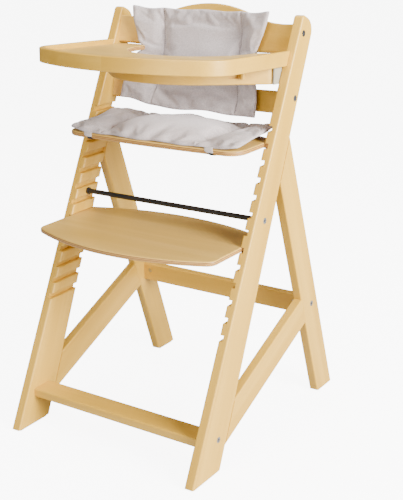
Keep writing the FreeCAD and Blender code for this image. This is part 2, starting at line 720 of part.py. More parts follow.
# ---------------------------------------------------------------------------
# Backrest boards: bent sideways so that their middle is set back
# ---------------------------------------------------------------------------
def bent_band(name, half_wide, front, thick, bottom, tall):
    """A band as wide as asked whose middle is set back along the backrest's curve."""
    body = new_body(name)
    flat = sketch(body, name + "_plan", "XY_Plane", bottom)
    sag = "(sqrt(back_radius ^ 2 - (%s) ^ 2) - (back_radius - back_bow))" % half_wide
    near = "%s + %s" % (front, sag)
    far = "%s + %s" % (near, thick)
    outline(flat, [
        ("-(%s)" % half_wide, near, "back_radius", 1),
        (half_wide, near),
        (half_wide, far, "back_radius", -1),
        ("-(%s)" % half_wide, far),
    ])
    pad(body, flat, name + "_pad", tall)
    return body


def lean_back(thing, up="0"):
    """Put a thing built upright into the backrest's leaning frame."""
    put(thing, "0", "back_y + (%s) * sin(recline * 1deg)" % up,
        "back_z + (%s) * cos(recline * 1deg)" % up, TOWARDS_BACK, "recline")


def runs_across(edge):
    """True for a long edge that runs from side to side of a board."""
    return edge.BoundBox.XLength > 30


lower_board = bent_band("lower_board", "half", "0", "back_thick", "0", "low_board_tall")
round_edges(lower_board, "lower_board_edges", "back_edge", runs_across)
lean_back(lower_board)
node(cut("lower_backrest_board", lower_board, bar_tools("lower_backrest_board")),
     "lower_backrest_board")

upper_board = bent_band("upper_board", "half", "0", "back_thick", "0", "top_board_tall + crest")
crest_cut = sketch(upper_board, "upper_board_crest", "XZ_Plane")
above = "top_board_tall + crest + 20"
outline(crest_cut, [
    ("-half - 5", "top_board_tall"),
    ("-crest_run", "top_board_tall", "crest_radius", -1),
    ("-crest_run / 2", "top_board_tall + crest / 2", "crest_radius", 1),
    ("crest_run / 2", "top_board_tall + crest / 2", "crest_radius", -1),
    ("crest_run", "top_board_tall"),
    ("half + 5", "top_board_tall"),
    ("half + 5", above),
    ("-half - 5", above),
])
pocket(upper_board, crest_cut, "upper_board_crest_cut")
round_edges(upper_board, "upper_board_edges", "back_edge",
            lambda edge: edge.BoundBox.XLength > 5)
lean_back(upper_board, "top_board_up")
node(cut("upper_backrest_board", upper_board, bar_tools("upper_backrest_board")),
     "upper_backrest_board")

# ---------------------------------------------------------------------------
# Seat and footrest plates
# ---------------------------------------------------------------------------
def plate(name, label, bottom):
    """A plywood plate with bowed front and rear edges; its tongues slide in the grooves."""
    front, rear, bow = name + "_front", name + "_rear", name + "_bow"
    tongue, side = name + "_tongue", "(half - %s_side)" % name
    body = new_body(name)
    flat = sketch(body, name + "_plan", "XY_Plane", bottom)
    outline(flat, [
        ("-" + side, front, bow, -1),
        (side, front),
        (side, tongue),
        ("plate_half", tongue),
        ("plate_half", rear, "rear_bow", -1),
        ("-plate_half", rear),
        ("-plate_half", tongue),
        ("-" + side, tongue),
    ])
    pad(body, flat, name + "_pad", "plate_thick")
    front_y, rear_y = number(front), number(rear)
    round_edges(body, name + "_front_corners", name + "_corner",
                lambda edge: is_upright(edge) and abs(edge.BoundBox.YMin - front_y) < 0.1)
    round_edges(body, name + "_rear_corners", "plate_rear_corner",
                lambda edge: is_upright(edge) and abs(edge.BoundBox.YMin - rear_y) < 0.1)
    round_edges(body, name + "_edges", "plate_edge", runs_across)
    node(body, label)


def is_upright(edge):
    return edge.Curve.TypeId == "Part::GeomLine" and abs(edge.tangentAt(0).z) > 0.999


plate("seat", "seat_plate", "seat_z")
plate("foot", "footrest_plate", "foot_z")

# ---------------------------------------------------------------------------
# Tray and guard rail, built level and then laid in the tray's sloping frame
# ---------------------------------------------------------------------------
place("rim_half", "half + rim_over")
place("rim_inner_half", "rim_half - rim_thick")
place("post_slope", "tan((front_lean - tray_slope) * 1deg)")
place("post_at_rim", "front_foot + (tray_z - glide) * front_tan - tray_y")


def rounded_front(body, name, inset, rear, bottom, tall):
    """The tray's outline, drawn in by an inset, with rounded front corners."""
    flat = sketch(body, name + "_plan", "XY_Plane", bottom)
    wide = "rim_half - %s" % inset
    front = "-rim_reach + %s" % inset
    outline(flat, [
        ("-(%s)" % wide, front, "rim_bow - %s" % inset, -1),
        (wide, front),
        (wide, rear),
        ("-(%s)" % wide, rear),
    ])
    pad(body, flat, name + "_pad", tall)
    front_y = number(front)
    round_edges(body, name + "_corners", "rim_corner - %s" % inset,
                lambda edge: is_upright(edge) and abs(edge.BoundBox.YMin - front_y) < 0.1)


rim_solid = new_body("rim_solid")
rounded_front(rim_solid, "rim_solid", "0", "5", "0", "rim_tall")
rim_hollow = new_body("rim_hollow")
rounded_front(rim_hollow, "rim_hollow", "rim_thick", "8", "-1", "rim_tall + 2")
rim_band = cut("rim_band", rim_solid, [rim_hollow])
end_cutter = new_body("rim_end_cutter")
end_flat = sketch(end_cutter, "rim_end_outline", "YZ_Plane", "-rim_half - 10")
outline(end_flat, [
    ("post_at_rim - 0.5 - 10 * post_slope", "-10"),
    ("60", "-10"),
    ("60", "rim_tall + 10"),
    ("post_at_rim - 0.5 + (rim_tall + 10) * post_slope", "rim_tall + 10"),
])
pad(end_cutter, end_flat, "rim_end_pad", "2 * rim_half + 20")
rim_trimmed = cut("rim_trimmed", rim_band, [end_cutter])
doc.recompute()
rim_round = doc.addObject("Part::Fillet", "tray_rim")
rim_round.Base = rim_trimmed
rim_edges = [index + 1 for index, edge in enumerate(rim_trimmed.Shape.Edges)
             if edge.BoundBox.ZLength < 0.01 and edge.Length > 12]
rim_round.Edges = [(index, 2.0, 2.0) for index in rim_edges]
lay_tray(rim_round)
node(rim_round, "tray_rim")

panel = new_body("panel")
rounded_front(panel, "panel", "(rim_thick + 0.05)", "-neck_front", "panel_up", "panel_thick")
neck = sketch(panel, "panel_neck_plan", "XY_Plane", "panel_up")
outline(neck, [
    ("-panel_neck / 2", "-neck_front - 4"),
    ("panel_neck / 2", "-neck_front - 4"),
    ("panel_neck / 2", "panel_rear"),
    ("-panel_neck / 2", "panel_rear"),
])
pad(panel, neck, "panel_neck_pad", "panel_thick")
place("arm_x", "belly + arm_round")
belly_cut = sketch(panel, "panel_belly", "XY_Plane", "panel_up - 1")
outline(belly_cut, [
    ("-belly", "-belly_y", "belly", -1),
    ("0", "-belly_y - belly", "belly", -1),
    ("belly", "-belly_y"),
    ("belly", "panel_rear - arm_round", "arm_round", 1),
    ("arm_x", "panel_rear"),
    ("arm_x", "panel_rear + 5"),
    ("-arm_x", "panel_rear + 5"),
    ("-arm_x", "panel_rear", "arm_round", 1),
    ("-belly", "panel_rear - arm_round"),
])
pocket(panel, belly_cut, "panel_belly_cut")
rear_line = number("-belly_y - belly") - 1
round_edges(panel, "panel_edges", "2.5",
            lambda edge: edge.BoundBox.ZLength < 0.01 and edge.BoundBox.YMin > rear_line
            and abs(edge.CenterOfMass.x) < number("arm_x")
            and abs(edge.CenterOfMass.y + number("neck_front")) > 1)

# the rail's slanting stretch lies where x - y keeps this value on its outer face
place("rail_radius", "half - rail_turn")
place("rail_centre", "rail_radius - rail_front")
place("rail_slant", "rail_radius * sqrt(2) - rail_centre")
place("peg_y", "peg_x - rail_slant - (peg / 2 + 0.5) * sqrt(2)")

peg_bores = [cylinder("peg_%s_bore" % side_name, "peg + 0.1", "peg_in + 1",
                      "%d * peg_x" % side, "peg_y", "panel_up - 1")
             for side_name, side in SIDES]
tray_panel = cut("tray_panel", panel, peg_bores)
lay_tray(tray_panel)
node(tray_panel, "tray_panel")

pegs = [cylinder("peg_" + side_name, "peg", "peg_drop + panel_up + peg_in",
                 "%d * peg_x" % side, "peg_y", "-peg_drop")
        for side_name, side in SIDES]
tray_pegs = group("tray_pegs", pegs)
lay_tray(tray_pegs)
node(tray_pegs, "tray_pegs")

rail = new_body("rail")
place("rail_wide", "half - bracket")
rail_plan = sketch(rail, "rail_plan", "XY_Plane", "-rail_down")


def rail_face(inset, right):
    """The corners of the rail's outer or inner face on one side, from its end to its arc."""
    sign = 1 if right else -1
    wide = "(rail_wide - %s)" % inset
    slant = "(rail_slant - %s * sqrt(2))" % inset
    tangent = "(rail_radius - %s) / sqrt(2)" % inset
    return [
        ("%d * %s" % (sign, wide), "rail_tail"),
        ("%d * %s" % (sign, wide), "%s - %s" % (wide, slant)),
        ("%d * %s" % (sign, tangent), "rail_centre - %s" % tangent),
    ]


outer_left, outer_right = rail_face("0", False), rail_face("0", True)
inner_left, inner_right = rail_face("rail_thick", False), rail_face("rail_thick", True)
outer_left[2] += ("rail_radius", -1)
inner_right[2] += ("rail_radius - rail_thick", 1)
outline(rail_plan, outer_left + outer_right[::-1] + inner_right + inner_left[::-1])
pad(rail, rail_plan, "rail_pad", "rail_down + panel_up - 0.1")
outer_corner = number("rail_wide - rail_slant")
inner_corner = number("rail_wide - rail_thick - (rail_slant - rail_thick * sqrt(2))")
round_edges(rail, "rail_inner_bends", "rail_bend",
            lambda edge: is_upright(edge) and abs(edge.BoundBox.YMin - inner_corner) < 0.1)
round_edges(rail, "rail_outer_bends", "rail_bend + rail_thick",
            lambda edge: is_upright(edge) and abs(edge.BoundBox.YMin - outer_corner) < 0.1)
round_edges(rail, "rail_edges", "2.5",
            lambda edge: edge.BoundBox.ZLength < 0.01 and edge.Length > number("rail_thick") + 1)

grips = []
for side_name, side in SIDES:
    # a shallow finger recess in the outer face of each slanting stretch
    along, out = "grip_long / 2 / sqrt(2)", "1 / sqrt(2)"
    if side > 0:
        x, turn = "grip_x - %s + %s" % (along, out), "45"
        y = "grip_x - rail_slant - %s - %s" % (along, out)
    else:
        x, turn = "-grip_x - %s - %s" % (along, out), "315"
        y = "grip_x - rail_slant + %s - %s" % (along, out)
    grips.append(block(side_name + "_grip", "grip_long", "grip_deep + 1", "grip_tall",
                       x, y, "-20", (0, 0, 1), turn))


def rail_screw_parts(kind, diameter, head, start, length, head_long):
    """Cylinders where the rail screws go, in the tray frame: a shank and its head."""
    shanks, heads = [], []
    for side_name, side in SIDES:
        for index, spot in enumerate(SCREW_SPOTS):
            name = "%s_%s_%d" % (kind, side_name, index + 1)
            shanks.append(along_x(name + "_shank", diameter, start, length, spot, side))
            if head:
                heads.append(along_x(name + "_head", head, start, head_long, spot, side))
    return shanks, heads


place("screw_start", "rail_wide - rail_thick")
rail_shanks, rail_heads = rail_screw_parts(
    "rail_bore", "screw_hole", "screw_head + 0.1", "screw_start - 1", "rail_thick + 2",
    "screw_head_tall + 1")
guard_rail = cut("guard_rail", rail, grips + [
    fuse("rail_bore_%d" % (index + 1), list(pair))
    for index, pair in enumerate(zip(rail_shanks, rail_heads))])
lay_tray(guard_rail)
node(guard_rail, "guard_rail")

for side_name, side in SIDES:
    name = side_name + "_rail_bracket"
    x = "rail_wide" if side > 0 else "-half"
    strip = block(name + "_strip", "bracket", "bracket_front + rail_tail", "rail_down - 1",
                  x, "-bracket_front", "-rail_down")
    holes = [along_x("%s_hole_%d" % (name, index + 1), "screw_hole", "rail_wide - 1",
                     "bracket + 2", spot, side) for index, spot in enumerate(SCREW_SPOTS)]
    bracket = cut(name, strip, holes)
    lay_tray(bracket)
    node(bracket, name)

screw_shanks, screw_heads = rail_screw_parts(
    "rail_screw", "screw", "screw_head", "screw_start", "screw_long", "screw_head_tall")
rail_screws = group("rail_screws", [
    fuse("rail_screw_%d" % (index + 1), list(pair))
    for index, pair in enumerate(zip(screw_shanks, screw_heads))])
lay_tray(rail_screws)
node(rail_screws, "rail_screws")

# ---------------------------------------------------------------------------
# Cushions and their straps
# ---------------------------------------------------------------------------
place("seat_top", "seat_z + plate_thick")
place("seat_apex", "seat_front - (seat_bow - sqrt(seat_bow ^ 2 - (half - seat_side) ^ 2))")
place("seat_pad_half", "seat_pad_wide / 2")
place("seat_pad_apex", "seat_pad_front - (seat_bow - sqrt(seat_bow ^ 2 - seat_pad_half ^ 2))")

seat_pad = new_body("seat_pad")
seat_pad_plan = sketch(seat_pad, "seat_pad_plan", "XY_Plane", "seat_top + pad_gap")
outline(seat_pad_plan, [
    ("-seat_pad_half", "seat_pad_front", "seat_bow", -1),
    ("seat_pad_half", "seat_pad_front"),
    ("seat_pad_half", "seat_pad_rear"),
    ("-seat_pad_half", "seat_pad_rear"),
])
pad(seat_pad, seat_pad_plan, "seat_pad_block", "seat_pad_thick")
round_edges(seat_pad, "seat_pad_corners", "seat_pad_corner", is_upright)
round_edges(seat_pad, "seat_pad_edges", "seat_pad_thick * 0.4", runs_across)
node(seat_pad, "seat_cushion")


def bow_at(x, apex):
    """Where a bowed front edge lies at a distance from the middle."""
    return "%s + seat_bow - sqrt(seat_bow ^ 2 - (%s) ^ 2)" % (apex, x)


place("strap_near", "seat_strap_x - strap_wide / 2")
place("strap_face", bow_at("strap_near", "seat_apex") + " - pad_gap")
place("strap_hem", bow_at("strap_near", "seat_pad_apex") + " - pad_gap")
place("strap_low", "seat_z - pad_gap")
place("strap_high", "seat_top + pad_gap")

seat_straps = []
for side_name, side in SIDES:
    name = side_name + "_seat_strap"
    strap = new_body(name)
    profile = sketch(strap, name + "_profile", "YZ_Plane", "%d * strap_near" % side)
    outline(profile, [
        ("strap_hem", "strap_high"),
        ("strap_hem", "strap_high + strap_thick"),
        ("strap_face - strap_thick", "strap_high + strap_thick"),
        ("strap_face - strap_thick", "strap_low - strap_thick"),
        ("strap_face + seat_strap_long", "strap_low - strap_thick"),
        ("strap_face + seat_strap_long", "strap_low"),
        ("strap_face", "strap_low"),
        ("strap_face", "strap_high"),
    ])
    pad(strap, profile, name + "_pad", "strap_wide", side < 0)
    seat_straps.append(strap)
node(group("seat_cushion_straps", seat_straps), "seat_cushion_straps")

back_pad = bent_band("back_pad", "back_pad_wide / 2", "-back_pad_thick - pad_gap",
                     "back_pad_thick", "-back_pad_low", "back_pad_low + back_pad_high")
waist = sketch(back_pad, "back_pad_waist_cut", "XZ_Plane")
for side in (-1, 1):
    near, far = "%d * back_pad_waist / 2" % side, "%d * (back_pad_wide / 2 + 10)" % side
    corners = [(near, "waist_up"), (far, "waist_up"),
               (far, "waist_up + waist_tall"), (near, "waist_up + waist_tall")]
    first = waist.GeometryCount
    for index, corner in enumerate(corners):
        after = corners[(index + 1) % 4]
        waist.addGeometry(Part.LineSegment(Vector(number(corner[0]), number(corner[1]), 0),
                                           Vector(number(after[0]), number(after[1]), 0)), False)
    for index, corner in enumerate(corners):
        waist.addConstraint(Sketcher.Constraint(
            "Coincident", first + (index - 1) % 4, 2, first + index, 1))
        pin_point(waist, first + index, 1, corner[0], corner[1])
pocket(back_pad, waist, "back_pad_waist_pocket")
round_edges(back_pad, "back_pad_corners", "8",
            lambda edge: edge.Curve.TypeId == "Part::GeomLine"
            and abs(edge.tangentAt(0).y) > 0.999
            and abs(edge.CenterOfMass.x) > number("back_pad_wide / 2") - 1)
front_line = back_pad.Tip.Shape.BoundBox.YMin + number("back_pad_thick / 3")
round_edges(back_pad, "back_pad_face", "5",
            lambda edge: edge.BoundBox.XLength > 200 and edge.BoundBox.YMin < front_line)
lean_back(back_pad)
node(back_pad, "back_cushion")

place("back_strap_near", "back_strap_x - strap_wide / 2")
place("back_strap_set", "sqrt(back_radius ^ 2 - back_strap_near ^ 2) - (back_radius - back_bow)")
place("back_strap_rear", "back_strap_set + back_thick + pad_gap")
place("back_strap_low", "top_board_up - pad_gap")
place("crest_drop", "crest_radius - sqrt(crest_radius ^ 2 - (crest_run - back_strap_near) ^ 2)")
place("back_strap_high", "top_board_up + top_board_tall + crest_drop + pad_gap")

back_straps = []
for side_name, side in SIDES:
    name = side_name + "_back_strap"
    strap = new_body(name)
    profile = sketch(strap, name + "_profile", "YZ_Plane", "%d * back_strap_near" % side)
    outline(profile, [
        ("back_strap_set", "back_strap_high"),
        ("back_strap_rear", "back_strap_high"),
        ("back_strap_rear", "back_strap_low"),
        ("back_strap_set", "back_strap_low"),
        ("back_strap_set", "back_strap_low - strap_thick"),
        ("back_strap_rear + strap_thick", "back_strap_low - strap_thick"),
        ("back_strap_rear + strap_thick", "back_strap_high + strap_thick"),
        ("back_strap_set", "back_strap_high + strap_thick"),
    ])
    pad(strap, profile, name + "_pad", "strap_wide", side < 0)
    back_straps.append(strap)
back_straps = group("back_cushion_straps", back_straps)
lean_back(back_straps)
node(back_straps, "back_cushion_straps")

# ---------------------------------------------------------------------------
# Bolts, barrel nuts, dowels and floor glides
# ---------------------------------------------------------------------------
def socket_bolt(name, spot, side, reach):
    """A bolt from the outer face inwards, with a hexagon socket in its head."""
    shank = along_x(name + "_shank", "bolt", "outer - 0.5 - (%s)" % reach, reach, spot, side)
    head = along_x(name + "_head", "head", "outer - head_tall", "head_tall", spot, side)
    key = doc.addObject("Part::Prism", name + "_key")
    key.Polygon = 6
    bind(key, "Circumradius", "socket / 2 / cos(30deg)")
    bind(key, "Height", "socket_deep + 1")
    start = "outer - socket_deep" if side > 0 else "-outer - 1"
    put(key, start, spot[0], spot[1], ALONG_X, "90")
    return cut(name, fuse(name + "_blank", [shank, head]), [key])


place("bolt_reach", "board + nut_in + 5.5 - 0.5")
bolts, nuts, dowels = [], [], []
for bar, (bolt_spot, dowel_spot, nut_spot, axis, angle) in FASTENINGS.items():
    for side_name, side in SIDES:
        tag = "%s_%s" % (bar, side_name)
        bolts.append(socket_bolt(tag + "_bolt", bolt_spot, side, "bolt_reach"))
        barrel = cylinder(tag + "_barrel", "nut", "nut_long", "%d * (half - nut_in)" % side,
                          nut_spot[0], nut_spot[1], axis, angle)
        thread = along_x(tag + "_thread", "bolt_hole", "half - nut_in - 10", "20",
                         bolt_spot, side)
        nuts.append(cut(tag + "_nut", barrel, [thread]))
        dowels.append(along_x(tag + "_dowel", "dowel", "half - dowel_bar + 0.3",
                              "dowel_bar + dowel_post - 0.3", dowel_spot, side))
node(group("frame_bolts", bolts), "frame_bolts")
node(group("barrel_nuts", nuts), "barrel_nuts")
node(group("crossbar_dowels", dowels), "crossbar_dowels")

rod_bolts = [socket_bolt("rod_%s_bolt" % side_name, ("rod_y", "rod_z"), side, "board + 20")
             for side_name, side in SIDES]
node(group("tie_rod_bolts", rod_bolts), "tie_rod_bolts")

glides = []
for side_name, side in SIDES:
    for member, centre, length in (
            ("post", "front_foot + post_foot / 2", "post_glide_long"),
            ("leg", "(leg_toe + rear_foot) / 2", "leg_glide_long")):
        tag = "%s_%s_glide" % (side_name, member)
        middle = "%d * (half + board / 2)" % side
        foot = block(tag + "_foot", "glide_wide", length, "glide",
                     "%s - glide_wide / 2" % middle, "%s - %s / 2" % (centre, length), "0")
        nail = cylinder(tag + "_pin", "glide_pin", "glide + glide_pin_long - 1", middle, centre,
                        "1")
        glides.append(fuse(tag, [foot, nail]))
node(group("floor_glides", glides), "floor_glides")

# ---------------------------------------------------------------------------
# Check every object, then write one file for each sub-part
# ---------------------------------------------------------------------------
doc.recompute()
for thing in doc.Objects:
    if "Invalid" in thing.State or "Error" in thing.State:
        raise RuntimeError("%s did not recompute" % thing.Name)
    shape = getattr(thing, "Shape", None)
    if shape is not None and thing.TypeId != "Sketcher::SketchObject":
        if shape.isNull() or not shape.isValid():
            raise RuntimeError("%s has no valid shape" % thing.Name)

os.makedirs("parts", exist_ok=True)
for thing in NODES:
    thing.Shape.exportStep(os.path.join("parts", thing.Label + ".step"))
print("wrote", len(NODES), "sub-parts")
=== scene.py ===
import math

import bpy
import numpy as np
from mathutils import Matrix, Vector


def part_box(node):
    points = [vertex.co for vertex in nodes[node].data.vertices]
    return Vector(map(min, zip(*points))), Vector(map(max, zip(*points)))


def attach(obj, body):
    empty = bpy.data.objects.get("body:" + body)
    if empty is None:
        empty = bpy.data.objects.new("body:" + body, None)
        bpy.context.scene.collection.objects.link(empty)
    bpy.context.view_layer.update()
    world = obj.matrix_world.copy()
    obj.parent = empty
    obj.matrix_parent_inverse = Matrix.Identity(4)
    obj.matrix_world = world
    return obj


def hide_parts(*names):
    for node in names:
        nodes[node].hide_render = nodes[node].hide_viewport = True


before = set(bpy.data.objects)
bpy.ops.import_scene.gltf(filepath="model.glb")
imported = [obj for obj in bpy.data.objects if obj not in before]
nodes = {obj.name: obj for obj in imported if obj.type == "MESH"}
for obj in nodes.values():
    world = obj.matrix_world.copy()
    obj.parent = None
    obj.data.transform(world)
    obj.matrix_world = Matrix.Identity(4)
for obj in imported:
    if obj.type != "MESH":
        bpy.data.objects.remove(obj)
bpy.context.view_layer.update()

# %% [markdown]
# # A wooden high chair, dressed for the camera
# The CAD model arrives as a fixed frame: every board, bolt and plate is already in place and at
# its real size.  This script gives each of them a finish with real grain, and makes what CAD
# can't: two quilted cotton cushions with their hems, straps and stitches.  Everything is in
# metres, Z is up and the chair faces -Y.

scene = bpy.context.scene
MM = 0.001

# %% [markdown]
# ## Colours and shader nodes
# Colours are written as they are on a paint chart and turned into the linear values that a shader
# wants.  One helper adds any shader node: its settings by name, and its inputs by socket, each a
# plain value or the output of another node.  Everything else is built from it.

# %% Two small helpers
def colour(chart):
    """A chart colour such as #E3C08C as linear red, green, blue and alpha."""
    parts = [int(chart[i:i + 2], 16) / 255 for i in (1, 3, 5)]
    return tuple(c / 12.92 if c <= 0.04045 else ((c + 0.055) / 1.055) ** 2.4 for c in parts) + (1,)


def add(tree, kind, inputs=None, out=0, **settings):
    """Add one shader node, set it, feed it, and give back one of its outputs."""
    node = tree.nodes.new("ShaderNode" + kind)
    for key, value in settings.items():
        setattr(node, key, value)
    for socket, value in (inputs or {}).items():
        if isinstance(value, bpy.types.NodeSocket):
            tree.links.new(value, node.inputs[socket])
        else:
            node.inputs[socket].default_value = value
    return node.outputs[out]


def finish(name, **constants):
    """A new material, its node tree and its surface shader with constant values set on it."""
    material = bpy.data.materials.new(name)
    material.use_nodes = True
    surface = material.node_tree.nodes["Principled BSDF"]
    for socket, value in constants.items():
        surface.inputs[socket.replace("_", " ")].default_value = value
    return material, material.node_tree, surface


print("beech in linear light:", tuple(round(part, 3) for part in colour("#D9AE6C")))

# %% [markdown]
# ## Beech under satin lacquer
# Beech is a pale, even, golden wood.  Along a board it shows slow bands of growth, fine fibres
# less than a millimetre wide, and short dark flecks two to four millimetres long.  A satin lacquer
# lies over it, so it has a soft highlight.  The pattern is stretched along each board's own
# direction: `along`, `across` and `through` are metres measured in the board.

# %% Grain in a board's own directions
def in_board(tree, along, face):
    """Distances along, across and through a board, from the board's two directions."""
    along = Vector(along).normalized()
    across = Vector(face).cross(along).normalized()
    here = add(tree, "TexCoord", out="Object")
    return [add(tree, "VectorMath", {0: here, 1: tuple(axis)}, "Value", operation="DOT_PRODUCT")
            for axis in (along, across, along.cross(across))]


def fibres(tree, place, stretch, shift, **settings):
    """Noise with a size of its own along, across and through the board."""
    scaled = {axis: add(tree, "Math", {0: part, 1: factor, 2: shift}, operation="MULTIPLY_ADD")
              for axis, (part, factor) in enumerate(zip(place, stretch))}
    where = add(tree, "CombineXYZ", scaled)
    return add(tree, "TexNoise", {"Vector": where, "Scale": 1.0, **settings})


def lay_over(tree, mask, low, high, most, under, over):
    """Lay one colour over another where a mask rises from low to high."""
    cover = add(tree, "MapRange", {0: mask, 1: low, 2: high, 3: 0.0, 4: most})
    return add(tree, "Mix", {0: cover, 6: under, 7: over}, 2, data_type="RGBA")


def grain(tree, place, shift, pale, deep, fleck):
    """The colour of sawn beech and the height of its pores."""
    growth = fibres(tree, place, (1.6, 24, 24), shift, Detail=3.0, Distortion=0.6)
    fine = fibres(tree, place, (9, 420, 420), shift, Detail=2.0, Roughness=0.6)
    cloud = fibres(tree, place, (4, 9, 9), shift, Detail=2.0)
    short = fibres(tree, place, (230, 1300, 1300), shift, Detail=1.0)
    tint = lay_over(tree, growth, 0.34, 0.68, 1.0, pale, deep)
    tint = lay_over(tree, fine, 0.35, 0.75, 0.4, tint, deep)
    tint = lay_over(tree, cloud, 0.40, 0.80, 0.3, tint, deep)
    flecks = add(tree, "MapRange", {0: short, 1: 0.66, 2: 0.74, 3: 0.0, 4: 0.5})
    tint = add(tree, "Mix", {0: flecks, 6: tint, 7: fleck}, 2, data_type="RGBA")
    return tint, add(tree, "Math", {0: fine, 1: flecks}, operation="SUBTRACT")


SATIN = {"Roughness": 0.45, "Coat_Weight": 0.15, "Coat_Roughness": 0.25}
BEECH = {"pale": colour("#DBAD42"), "deep": colour("#C8992E"), "fleck": colour("#9E6F1E")}


def beech(name, along, face, shift):
    material, tree, surface = finish(name, **SATIN)
    tint, pores = grain(tree, in_board(tree, along, face), shift, **BEECH)
    relief = add(tree, "Bump", {"Height": pores, "Strength": 0.25, "Distance": 0.2 * MM})
    tree.links.new(tint, surface.inputs["Base Color"])
    tree.links.new(relief, surface.inputs["Normal"])
    return material


# %% [markdown]
# Each board's grain runs along its longest side, which the board's own corners tell.

# %% Dress the sawn boards
def lie_of(node):
    """The direction of a node's longest side, from the spread of its points."""
    mesh = nodes[node].data
    points = np.empty(len(mesh.vertices) * 3)
    mesh.vertices.foreach_get("co", points)
    points = np.unique(np.round(points.reshape(-1, 3), 4), axis=0)
    axes = np.linalg.eigh(np.cov((points - points.mean(0)).T))[1]
    return Vector(axes[:, -1])


def dress(node, material):
    for slot in nodes[node].material_slots:
        slot.material = material


X, Y, Z = Vector((1, 0, 0)), Vector((0, 1, 0)), Vector((0, 0, 1))
SIDE_FRAMES = [side + member for side in ("left_", "right_")
               for member in ("post", "rear_leg", "brace")]
CROSS_BOARDS = {"front_crossbar": Z, "rear_crossbar": Y,
                "upper_backrest_board": Y, "lower_backrest_board": Y}
for index, board in enumerate(SIDE_FRAMES):
    dress(board, beech("satin beech, " + board.replace("_", " "), lie_of(board), X, 1.7 * index))
for index, (board, face) in enumerate(CROSS_BOARDS.items()):
    dress(board, beech("satin beech, " + board.replace("_", " "), X, face, 20 + 1.7 * index))
print("sawn boards dressed:", len(SIDE_FRAMES) + len(CROSS_BOARDS))

# %% [markdown]
# **Bent beech.** The tray's rim and the guard rail are strips bent round a former, so their grain
# follows the bend.  Turning the coordinates about an upright line inside the bend does that.

# %% Dress the bent strips
def bent_beech(name, centre_y, shift):
    material, tree, surface = finish(name, **SATIN)
    here = add(tree, "VectorMath", {0: add(tree, "TexCoord", out="Object"), 1: (0, centre_y, 0)},
               operation="SUBTRACT")
    across = add(tree, "SeparateXYZ", {0: here}, "X")
    ahead = add(tree, "SeparateXYZ", {0: here}, "Y")
    height = add(tree, "SeparateXYZ", {0: here}, "Z")
    turned = add(tree, "Math", {0: across, 1: ahead}, operation="ARCTAN2")
    level = add(tree, "VectorMath", {0: here, 1: (1, 1, 0)}, operation="MULTIPLY")
    reach = add(tree, "VectorMath", {0: level}, "Value", operation="LENGTH")
    along = add(tree, "Math", {0: turned, 1: 0.2}, operation="MULTIPLY")
    tint, pores = grain(tree, [along, height, reach], shift, **BEECH)
    relief = add(tree, "Bump", {"Height": pores, "Strength": 0.25, "Distance": 0.2 * MM})
    tree.links.new(tint, surface.inputs["Base Color"])
    tree.links.new(relief, surface.inputs["Normal"])
    return material


def middle_y(node):
    low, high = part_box(node)
    return (low[1] + high[1]) / 2


for shift, strip in ((31, "tray_rim"), (33, "guard_rail")):
    dress(strip, bent_beech("bent satin beech, " + strip.replace("_", " "), middle_y(strip), shift))
print("bent strips dressed about Y", round(middle_y("tray_rim"), 3))

# %% [markdown]
# ## Plywood
# The seat, the footrest and the tray's panel are plywood.  Their broad faces are one veneer of
# beech, a little greyer than the solid boards.  Their edges show the stack: long-grain veneers
# pale, cross-grain ones brown.  Which of the two a point gets depends on where its surface faces.

# %% Dress the plates
PLY = {"pale": colour("#D6AF5C"), "deep": colour("#C49C46"), "fleck": colour("#9C7733")}
VENEER = 1.4 * MM


def plywood(name, up, bottom, shift):
    material, tree, surface = finish(name, **SATIN)
    tint, pores = grain(tree, in_board(tree, X, up), shift, **PLY)
    height = add(tree, "VectorMath", {0: add(tree, "TexCoord", out="Object"), 1: tuple(up)},
                 "Value", operation="DOT_PRODUCT")
    layer = add(tree, "Math", {0: height, 1: 1 / VENEER, 2: -bottom / VENEER},
                operation="MULTIPLY_ADD")
    stack = add(tree, "Math", {0: layer, 1: 1.0}, operation="PINGPONG")
    edge = lay_over(tree, stack, 0.35, 0.65, 1.0, colour("#C3924A"), colour("#7F5424"))
    facing = add(tree, "VectorMath", {0: add(tree, "NewGeometry", out="Normal"), 1: tuple(up)},
                 "Value", operation="DOT_PRODUCT")
    turned = add(tree, "Math", {0: facing}, operation="ABSOLUTE")
    upright = add(tree, "Math", {0: 1.0, 1: turned}, operation="SUBTRACT")
    tint = lay_over(tree, upright, 0.40, 0.55, 1.0, tint, edge)
    relief = add(tree, "Bump", {"Height": pores, "Strength": 0.2, "Distance": 0.2 * MM})
    tree.links.new(tint, surface.inputs["Base Color"])
    tree.links.new(relief, surface.inputs["Normal"])
    return material


TRAY_SLOPE = math.radians(2.9)
tray_up = Vector((0, math.sin(TRAY_SLOPE), math.cos(TRAY_SLOPE)))
for shift, (plate, up) in enumerate({"seat_plate": Z, "footrest_plate": Z,
                                     "tray_panel": tray_up}.items()):
    low = min(vertex.co.dot(up) for vertex in nodes[plate].data.vertices)
    dress(plate, plywood("beech plywood, " + plate.replace("_", " "), up, low, 41 + shift))
    print(plate, "starts", round(low / MM, 1), "mm up")

# %% [markdown]
# ## Fittings
# Turned beech pins, powder-coated steel, zinc-plated screws and moulded nylon.  None of them is a
# flat colour: powder coat has an orange-peel skin, zinc has a fine brushed haze and nylon a faint
# cloud, so one function gives a skin its unevenness at the size that each process leaves.

